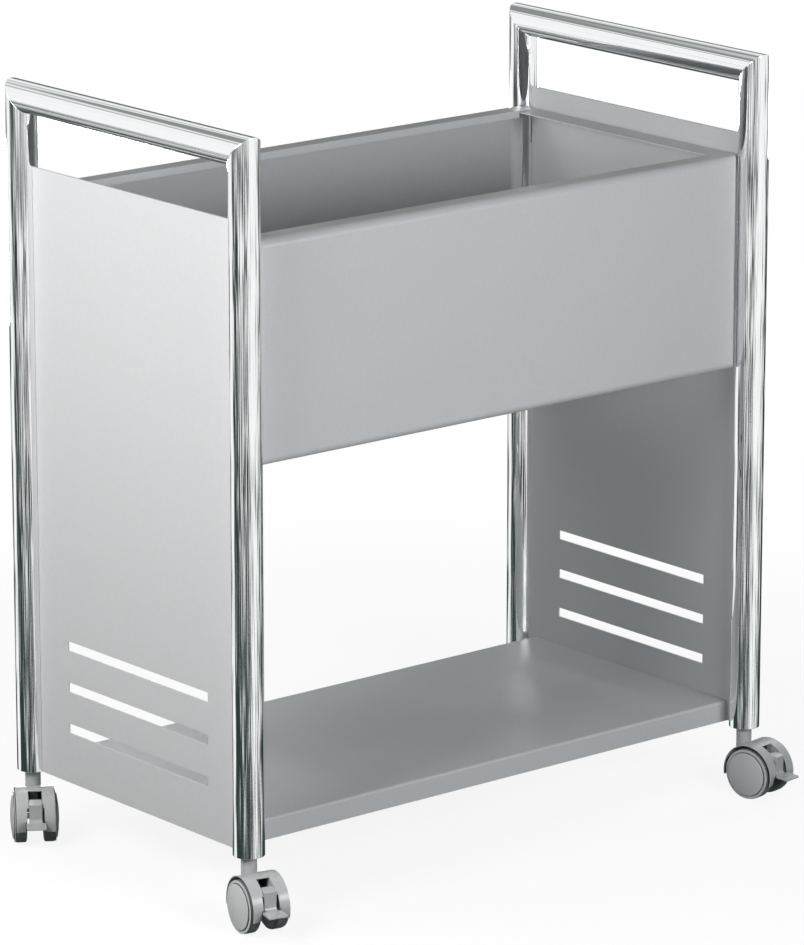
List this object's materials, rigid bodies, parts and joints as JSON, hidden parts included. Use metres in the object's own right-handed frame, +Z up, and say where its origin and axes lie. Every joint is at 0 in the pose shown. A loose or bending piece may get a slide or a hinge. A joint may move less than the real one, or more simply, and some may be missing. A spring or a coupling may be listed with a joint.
{
  "type": "mobile file cart",
  "caption": "Open office cart on swivel casters: chromed tube end frames, grey sheet side panels, a trough for hanging files above and a flat shelf for binders below.",
  "frame": {"origin": "on the floor, midway between the four posts", "axes": "+X along the cart towards its right end, +Y from the front trough panel to the back one, +Z up"},
  "size_m": [0.7381, 0.4464, 0.792],
  "materials": {
    "chrome_tube": "polished",
    "painted_sheet": "fine satin powder coat",
    "caster_plastic": "satin",
    "cap_plastic": "satin",
    "wheel_plastic": "matte",
    "socket_plastic": "matte",
    "steel_pin": "bright"
  },
  "bodies": {
    "frame": {"left_front_post": "chrome_tube", "left_back_post": "chrome_tube", "left_top_rail": "chrome_tube", "right_front_post": "chrome_tube", "right_back_post": "chrome_tube", "right_top_rail": "chrome_tube", "left_side_panel": "painted_sheet", "right_side_panel": "painted_sheet", "front_trough_panel": "painted_sheet", "back_trough_panel": "painted_sheet", "left_end_rail": "painted_sheet", "right_end_rail": "painted_sheet", "bottom_shelf": "painted_sheet", "left_front_socket": "socket_plastic", "left_front_stem": "steel_pin", "left_back_socket": "socket_plastic", "left_back_stem": "steel_pin", "right_front_socket": "socket_plastic", "right_front_stem": "steel_pin", "right_back_socket": "socket_plastic", "right_back_stem": "steel_pin"},
    "left_front_swivel": {"left_front_housing": "caster_plastic", "left_front_axle": "steel_pin", "left_front_brake_pin": "steel_pin"},
    "left_front_roller_a": {"left_front_wheel_a": "wheel_plastic", "left_front_cap_a": "cap_plastic"},
    "left_front_roller_b": {"left_front_wheel_b": "wheel_plastic", "left_front_cap_b": "cap_plastic"},
    "left_front_brake": {"left_front_brake_lever": "caster_plastic"},
    "left_back_swivel": {"left_back_housing": "caster_plastic", "left_back_axle": "steel_pin", "left_back_brake_pin": "steel_pin"},
    "left_back_roller_a": {"left_back_wheel_a": "wheel_plastic", "left_back_cap_a": "cap_plastic"},
    "left_back_roller_b": {"left_back_wheel_b": "wheel_plastic", "left_back_cap_b": "cap_plastic"},
    "left_back_brake": {"left_back_brake_lever": "caster_plastic"},
    "right_front_swivel": {"right_front_housing": "caster_plastic", "right_front_axle": "steel_pin", "right_front_brake_pin": "steel_pin"},
    "right_front_roller_a": {"right_front_wheel_a": "wheel_plastic", "right_front_cap_a": "cap_plastic"},
    "right_front_roller_b": {"right_front_wheel_b": "wheel_plastic", "right_front_cap_b": "cap_plastic"},
    "right_front_brake": {"right_front_brake_lever": "caster_plastic"},
    "right_back_swivel": {"right_back_housing": "caster_plastic", "right_back_axle": "steel_pin", "right_back_brake_pin": "steel_pin"},
    "right_back_roller_a": {"right_back_wheel_a": "wheel_plastic", "right_back_cap_a": "cap_plastic"},
    "right_back_roller_b": {"right_back_wheel_b": "wheel_plastic", "right_back_cap_b": "cap_plastic"},
    "right_back_brake": {"right_back_brake_lever": "caster_plastic"}
  },
  "joints": [
    {"name": "left_front_swivel_turn", "type": "hinge", "parent": "frame", "child": "left_front_swivel", "pos_m": [-0.332, -0.18, 0.06], "axis": [0, 0, 1], "continuous": true},
    {"name": "left_front_wheel_a_roll", "type": "hinge", "parent": "left_front_swivel", "child": "left_front_roller_a", "pos_m": [-0.33616, -0.19956, 0.027], "axis": [0.9781, -0.2079, 0], "continuous": true},
    {"name": "left_front_wheel_b_roll", "type": "hinge", "parent": "left_front_swivel", "child": "left_front_roller_b", "pos_m": [-0.33616, -0.19956, 0.027], "axis": [0.9781, -0.2079, 0], "continuous": true},
    {"name": "left_front_brake_press", "type": "hinge", "parent": "left_front_swivel", "child": "left_front_brake", "pos_m": [-0.33969, -0.21619, 0.0425], "axis": [0.9781, -0.2079, 0], "range_deg": [0, 8]},
    {"name": "left_back_swivel_turn", "type": "hinge", "parent": "frame", "child": "left_back_swivel", "pos_m": [-0.332, 0.18, 0.06], "axis": [0, 0, 1], "continuous": true},
    {"name": "left_back_wheel_a_roll", "type": "hinge", "parent": "left_back_swivel", "child": "left_back_roller_a", "pos_m": [-0.34289, 0.16323, 0.027], "axis": [0.8387, -0.5446, 0], "continuous": true},
    {"name": "left_back_wheel_b_roll", "type": "hinge", "parent": "left_back_swivel", "child": "left_back_roller_b", "pos_m": [-0.34289, 0.16323, 0.027], "axis": [0.8387, -0.5446, 0], "continuous": true},
    {"name": "left_back_brake_press", "type": "hinge", "parent": "left_back_swivel", "child": "left_back_brake", "pos_m": [-0.35215, 0.14897, 0.0425], "axis": [0.8387, -0.5446, 0], "range_deg": [0, 8]},
    {"name": "right_front_swivel_turn", "type": "hinge", "parent": "frame", "child": "right_front_swivel", "pos_m": [0.332, -0.18, 0.06], "axis": [0, 0, 1], "continuous": true},
    {"name": "right_front_wheel_a_roll", "type": "hinge", "parent": "right_front_swivel", "child": "right_front_roller_a", "pos_m": [0.3353, -0.19973, 0.027], "axis": [0.9863, 0.165, 0], "continuous": true},
    {"name": "right_front_wheel_b_roll", "type": "hinge", "parent": "right_front_swivel", "child": "right_front_roller_b", "pos_m": [0.3353, -0.19973, 0.027], "axis": [0.9863, 0.165, 0], "continuous": true},
    {"name": "right_front_brake_press", "type": "hinge", "parent": "right_front_swivel", "child": "right_front_brake", "pos_m": [0.33811, -0.21649, 0.0425], "axis": [0.9863, 0.165, 0], "range_deg": [0, 8]},
    {"name": "right_back_swivel_turn", "type": "hinge", "parent": "frame", "child": "right_back_swivel", "pos_m": [0.332, 0.18, 0.06], "axis": [0, 0, 1], "continuous": true},
    {"name": "right_back_wheel_a_roll", "type": "hinge", "parent": "right_back_swivel", "child": "right_back_roller_a", "pos_m": [0.33026, 0.16008, 0.027], "axis": [0.9962, -0.0872, 0], "continuous": true},
    {"name": "right_back_wheel_b_roll", "type": "hinge", "parent": "right_back_swivel", "child": "right_back_roller_b", "pos_m": [0.33026, 0.16008, 0.027], "axis": [0.9962, -0.0872, 0], "continuous": true},
    {"name": "right_back_brake_press", "type": "hinge", "parent": "right_back_swivel", "child": "right_back_brake", "pos_m": [0.32878, 0.14314, 0.0425], "axis": [0.9962, -0.0872, 0], "range_deg": [0, 8]}
  ]
}
